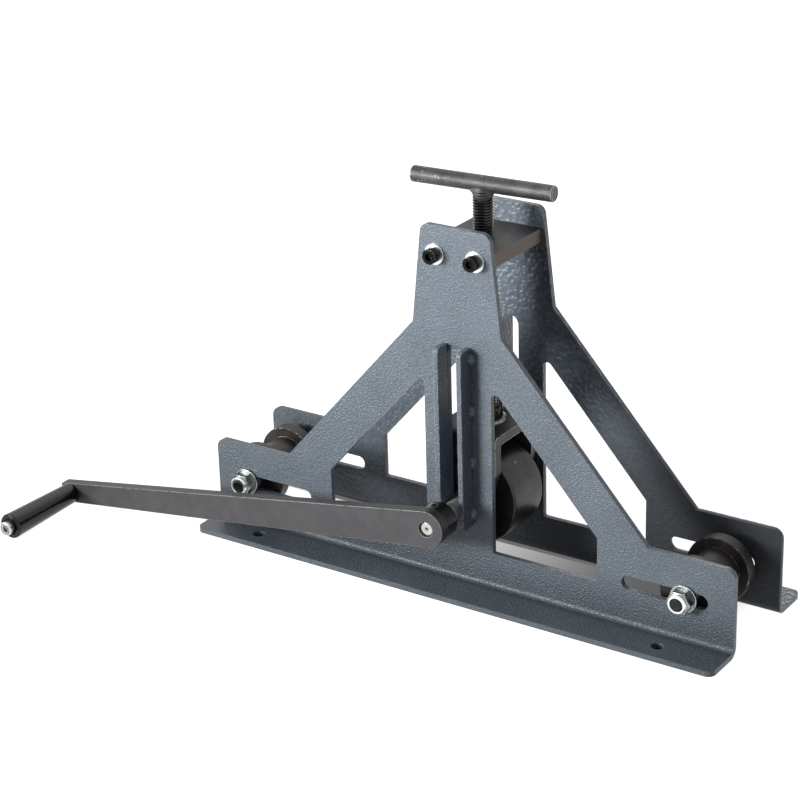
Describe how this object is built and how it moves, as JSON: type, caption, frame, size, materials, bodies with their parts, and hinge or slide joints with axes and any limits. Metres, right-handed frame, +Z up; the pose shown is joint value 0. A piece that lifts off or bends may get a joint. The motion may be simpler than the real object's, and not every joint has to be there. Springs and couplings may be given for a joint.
{
  "type": "tube roller bender",
  "caption": "Hand-cranked tube roller bender: bent side plates, a screw-fed yoke with a driven roller, flanged side rollers on slotted axles and a long crank with a grip.",
  "frame": {"origin": "middle of the four base bolt holes, on the plane the base flanges stand on", "axes": "+X along the machine from the left side roller to the right one, +Y from the crank side to the back, +Z up"},
  "size_m": [0.6671, 0.2693, 0.355],
  "materials": {
    "plate_coat": "blue-grey hammertone powder coat",
    "cross_steel": "dark mill scale with bare sawn edges",
    "cap_black": "black oxide",
    "zinc": "bright zinc plating",
    "yoke_steel": "mill scale with bare edges",
    "boss_black": "black oxide",
    "weld_bead": "bare weld bead",
    "bronze": "sintered bronze",
    "screw_black": "oiled black thread",
    "tee_dark": "dark drawn bar, dusty",
    "shaft_steel": "turned bare steel",
    "drive_roller": "plain dark gunmetal",
    "collar_black": "black oxide",
    "grub_black": "black oxide",
    "arm_grey": "satin dark grey paint",
    "grip_black": "glossy black",
    "axle_black": "black oxide",
    "spacer_steel": "bare tube",
    "side_roller": "black-brown oxide, edges worn bright"
  },
  "bodies": {
    "frame": {"front_plate": "plate_coat", "rear_plate": "plate_coat", "front_guide_left": "plate_coat", "front_guide_right": "plate_coat", "rear_guide_left": "plate_coat", "rear_guide_right": "plate_coat", "front_guide_welds": "plate_coat", "rear_guide_welds": "plate_coat", "cross_plate": "cross_steel", "cap_screws": "cap_black", "cap_washers": "zinc"},
    "yoke": {"yoke": "yoke_steel", "thrust_boss": "boss_black", "boss_weld": "weld_bead", "yoke_bush_front": "bronze", "yoke_bush_rear": "bronze"},
    "lead_screw": {"lead_screw": "screw_black", "tee_bar": "tee_dark", "tee_weld": "tee_dark", "thrust_washer": "bronze", "screw_collar": "screw_black", "collar_pin": "shaft_steel"},
    "drive_shaft": {"drive_shaft": "shaft_steel", "driven_roller": "drive_roller", "roller_key": "shaft_steel", "shaft_collar": "collar_black", "collar_grub": "grub_black", "crank_hub": "collar_black", "hub_grub": "grub_black", "crank_arm": "arm_grey", "grip_bolt": "zinc"},
    "grip": {"crank_grip": "grip_black"},
    "left_axle": {"left_axle_bolt": "axle_black", "left_axle_nut": "zinc", "left_axle_washers": "zinc", "left_axle_spacers": "spacer_steel"},
    "left_roller": {"left_roller": "side_roller", "left_roller_bush": "bronze"},
    "right_axle": {"right_axle_bolt": "axle_black", "right_axle_nut": "zinc", "right_axle_washers": "zinc", "right_axle_spacers": "spacer_steel"},
    "right_roller": {"right_roller": "side_roller", "right_roller_bush": "bronze"}
  },
  "joints": [
    {"name": "yoke_slide", "type": "slide", "parent": "frame", "child": "yoke", "axis": [0, 0, 1], "range_m": [-0.005, 0.1375]},
    {"name": "screw_turn", "type": "hinge", "parent": "yoke", "child": "lead_screw", "pos_m": [0, 0, 0.2], "axis": [0, 0, 1], "range_deg": [-720, 19800]},
    {"name": "shaft_spin", "type": "hinge", "parent": "yoke", "child": "drive_shaft", "pos_m": [0, 0, 0.073], "axis": [0, 1, 0], "continuous": true},
    {"name": "grip_spin", "type": "hinge", "parent": "drive_shaft", "child": "grip", "pos_m": [-0.3954, -0.139, 0.0125], "axis": [0, 1, 0], "continuous": true},
    {"name": "left_axle_slide", "type": "slide", "parent": "frame", "child": "left_axle", "axis": [1, 0, 0], "range_m": [-0.002, 0.0635]},
    {"name": "left_roller_spin", "type": "hinge", "parent": "left_axle", "child": "left_roller", "pos_m": [-0.2275, 0, 0.043], "axis": [0, 1, 0], "continuous": true},
    {"name": "right_axle_slide", "type": "slide", "parent": "frame", "child": "right_axle", "axis": [1, 0, 0], "range_m": [-0.051, 0.0145]},
    {"name": "right_roller_spin", "type": "hinge", "parent": "right_axle", "child": "right_roller", "pos_m": [0.215, 0, 0.043], "axis": [0, 1, 0], "continuous": true}
  ],
  "couplings": [
    {"joint": "yoke_slide", "follows": "screw_turn", "m_per_rad": 0.00039789}
  ]
}
